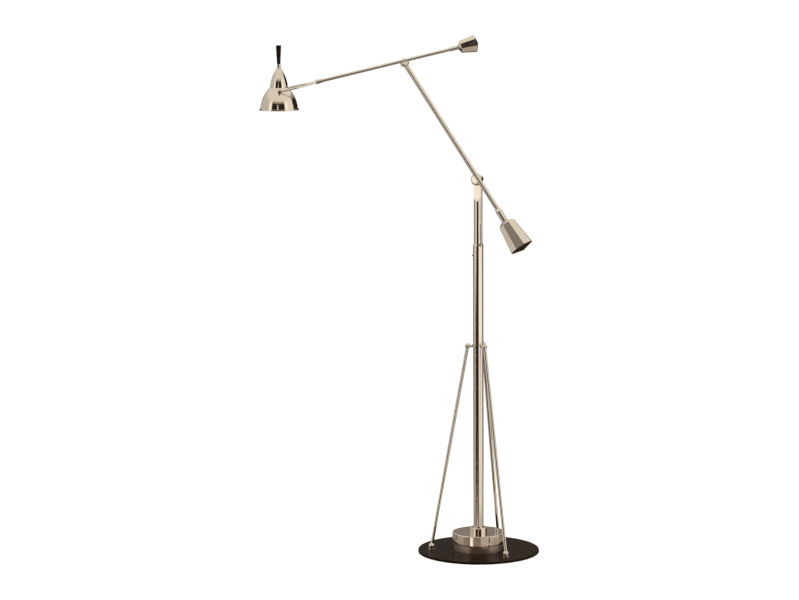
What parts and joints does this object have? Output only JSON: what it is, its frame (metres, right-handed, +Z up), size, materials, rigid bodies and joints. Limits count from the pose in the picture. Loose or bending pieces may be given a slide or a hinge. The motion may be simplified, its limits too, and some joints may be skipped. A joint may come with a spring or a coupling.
{
  "type": "adjustable arm floor lamp",
  "caption": "Counterbalanced two-arm floor lamp with a telescopic mast on three stays, a round weighted base and a tilting spun-metal shade with a handle.",
  "frame": {"origin": "centre of the base pad's underside, on the floor", "axes": "+Z up along the mast; the lower arm lies in the X-Z plane with its counterweight towards +X, and the back stay and the cable outlet are at +Y"},
  "size_m": [0.8212, 0.4878, 1.6166],
  "materials": {
    "nickel": "polished, warm nickel plate",
    "steel": "zinc-plated",
    "lacquer": "dark bronze-black lacquer, semi-gloss",
    "felt": "felt",
    "cast_iron": "rough",
    "nylon": "matte",
    "fibre": "matte",
    "ebony": "waxed, near black",
    "socket_black": "moulded",
    "bulb_brass": "plain",
    "bulb_glass": "frosted",
    "outlet_black": "matte",
    "black_steel": "blackened"
  },
  "bodies": {
    "base": {"base_pad": "felt", "base_disc": "lacquer", "base_screws": "steel", "mast_bolt": "steel", "drum_lower_band": "nickel", "drum_upper_cover": "nickel", "drum_ballast": "cast_iron", "cable_outlet": "outlet_black", "mast_collar": "nickel", "collar_screw": "steel", "lower_mast_tube": "nickel", "mast_plug": "steel", "mast_cap": "nickel", "mast_guide": "nylon", "stay_clamp": "nickel", "stay_ball_1": "nickel", "stay_rod_1": "nickel", "stay_foot_1": "nickel", "stay_ball_2": "nickel", "stay_rod_2": "nickel", "stay_foot_2": "nickel", "stay_ball_3": "nickel", "stay_rod_3": "nickel", "stay_foot_3": "nickel"},
    "lock_screw": {"mast_lock_screw": "nickel"},
    "mast_carrier": {"mast_bush": "nylon"},
    "upper_mast": {"upper_mast_tube": "nickel", "upper_tube_stop": "steel", "bush_clip": "steel", "mast_head": "nickel", "front_friction_washer": "fibre", "rear_friction_washer": "fibre"},
    "lower_arm": {"lower_arm_knuckle": "nickel", "lower_pivot_nut": "nickel", "lower_arm_tube": "nickel", "lower_arm_ferrule": "nickel", "lower_arm_weight": "nickel", "swivel_keeper_screw": "steel"},
    "arm_swivel": {"swivel_knuckle": "nickel"},
    "upper_arm": {"upper_arm_knuckle": "nickel", "upper_pivot_nut": "nickel", "upper_arm_tube": "nickel", "upper_arm_ferrule": "nickel", "upper_arm_neck": "nickel", "upper_arm_weight": "nickel", "swivel_stub": "steel", "stub_retainer": "steel"},
    "head_yoke": {"head_fork": "nickel", "pivot_screws": "nickel", "pivot_nuts": "steel"},
    "shade_head": {"shade": "nickel", "pivot_bosses": "nickel", "handle_ferrule": "nickel", "ferrule_set_screw": "black_steel", "handle_stud": "steel", "handle_grip": "ebony", "lamp_socket": "socket_black", "socket_nut": "steel", "bulb_cap": "bulb_brass", "bulb_glass": "bulb_glass"}
  },
  "joints": [
    {"name": "mast_height", "type": "slide", "parent": "base", "child": "mast_carrier", "axis": [0, 0, 1], "range_m": [-0.12, 0.15]},
    {"name": "mast_turn", "type": "hinge", "parent": "mast_carrier", "child": "upper_mast", "pos_m": [0, 0, 1.175], "axis": [0, 0, 1], "range_deg": [-170, 170]},
    {"name": "lock_screw_turn", "type": "hinge", "parent": "base", "child": "lock_screw", "pos_m": [-0.01375, -0.00794, 0.939], "axis": [-0.866, -0.5, 0], "range_deg": [-180, 180]},
    {"name": "lower_arm_tilt", "type": "hinge", "parent": "upper_mast", "child": "lower_arm", "pos_m": [0, 0, 1.175], "axis": [0, 1, 0], "range_deg": [-38, 17]},
    {"name": "arm_swivel_turn", "type": "hinge", "parent": "lower_arm", "child": "arm_swivel", "pos_m": [-0.24361, -0.019, 1.52945], "axis": [0.5835, 0, -0.8121], "range_deg": [-80, 80]},
    {"name": "upper_arm_tilt", "type": "hinge", "parent": "arm_swivel", "child": "upper_arm", "pos_m": [-0.24076, -0.02447, 1.5315], "axis": [-0.4391, 0.8412, -0.3155], "range_deg": [-45, 45]},
    {"name": "head_swivel", "type": "hinge", "parent": "upper_arm", "child": "head_yoke", "pos_m": [-0.56962, -0.23624, 1.44735], "axis": [0.826, 0.5161, 0.2267], "range_deg": [-170, 170]},
    {"name": "shade_tilt", "type": "hinge", "parent": "head_yoke", "child": "shade_head", "pos_m": [-0.56962, -0.23624, 1.44735], "axis": [-0.5299, 0.848, 0], "range_deg": [-50, 50]}
  ]
}
